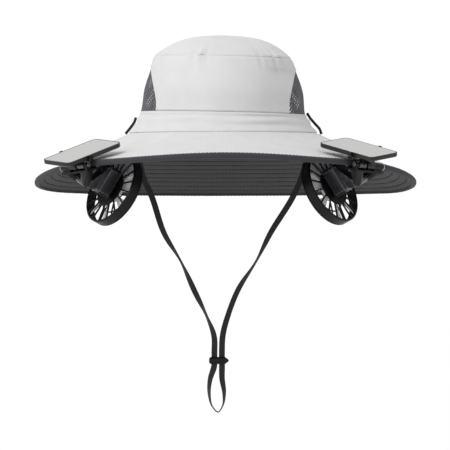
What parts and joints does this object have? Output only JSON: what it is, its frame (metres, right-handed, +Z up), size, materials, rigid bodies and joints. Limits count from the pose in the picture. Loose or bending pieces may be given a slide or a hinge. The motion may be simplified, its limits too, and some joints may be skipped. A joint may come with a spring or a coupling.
{
  "type": "wide-brimmed sun hat with clip-on solar fans",
  "caption": "Pale wide-brimmed sun hat with mesh side vents, a chin strap with a slider, and a solar-powered clip fan on each side of the front brim.",
  "frame": {"origin": "middle of the head opening, level with the seam between band and brim, where the hat sits on a head", "axes": "+Z up through the crown, front of the hat towards -Y, +X to the right as seen from the front"},
  "size_m": [0.381, 0.406, 0.3745],
  "materials": {
    "hat_cloth": "matte woven cloth",
    "mesh_cloth": "open knitted net",
    "under_cloth": "matte woven cloth with rows of stitching",
    "binding_cloth": "matte tape",
    "strap_tape": "matte woven tape",
    "slider_plastic": "satin",
    "black_plastic": "gloss",
    "panel_face": "gloss",
    "spring_steel": "bright",
    "blade_plastic": "satin"
  },
  "bodies": {
    "hat": {"crown_top": "hat_cloth", "crown_front": "hat_cloth", "crown_back": "hat_cloth", "mesh_left": "mesh_cloth", "mesh_right": "mesh_cloth", "hat_band": "hat_cloth", "brim_top": "hat_cloth", "brim_underside": "under_cloth", "brim_binding": "binding_cloth", "side_strap_left": "strap_tape", "side_strap_right": "strap_tape", "chin_strap": "strap_tape", "strap_slider": "slider_plastic", "left_clip_pin": "spring_steel", "left_clip_spring": "spring_steel", "left_clip_lower_arm": "black_plastic", "right_clip_pin": "spring_steel", "right_clip_spring": "spring_steel", "right_clip_lower_arm": "black_plastic"},
    "left_panel_lever": {"left_solar_panel": "panel_face", "left_panel_frame": "black_plastic", "left_clip_upper_jaw": "black_plastic"},
    "left_fan_head": {"left_fan_housing": "black_plastic", "left_fan_cage": "black_plastic", "left_fan_grille": "black_plastic"},
    "left_rotor": {"left_fan_rotor": "blade_plastic"},
    "right_panel_lever": {"right_solar_panel": "panel_face", "right_panel_frame": "black_plastic", "right_clip_upper_jaw": "black_plastic"},
    "right_fan_head": {"right_fan_housing": "black_plastic", "right_fan_cage": "black_plastic", "right_fan_grille": "black_plastic"},
    "right_rotor": {"right_fan_rotor": "blade_plastic"}
  },
  "joints": [
    {"name": "left_clip_opens", "type": "hinge", "parent": "hat", "child": "left_panel_lever", "pos_m": [-0.14188, -0.14628, -0.0344], "axis": [0.669, -0.7382, 0.0862], "range_deg": [0, 22], "stiffness_Nm_per_rad": 0.06, "springref_deg": -28.65},
    {"name": "right_clip_opens", "type": "hinge", "parent": "hat", "child": "right_panel_lever", "pos_m": [0.13979, -0.15397, -0.03353], "axis": [0.7075, 0.703, -0.0723], "range_deg": [0, 22], "stiffness_Nm_per_rad": 0.06, "springref_deg": -28.65},
    {"name": "left_fan_tilt", "type": "hinge", "parent": "hat", "child": "left_fan_head", "pos_m": [-0.13518, -0.14028, -0.0469], "axis": [0.456, -0.8479, -0.2704], "range_deg": [-45, 2]},
    {"name": "right_fan_tilt", "type": "hinge", "parent": "hat", "child": "right_fan_head", "pos_m": [0.13309, -0.14797, -0.04603], "axis": [0.456, 0.8479, 0.2704], "range_deg": [-45, 2]},
    {"name": "left_rotor_spin", "type": "hinge", "parent": "left_fan_head", "child": "left_rotor", "pos_m": [-0.10488, -0.11528, -0.0573], "axis": [-0.7292, -0.5302, 0.4326], "continuous": true},
    {"name": "right_rotor_spin", "type": "hinge", "parent": "right_fan_head", "child": "right_rotor", "pos_m": [0.10279, -0.12297, -0.05643], "axis": [0.7292, -0.5302, 0.4326], "continuous": true}
  ]
}
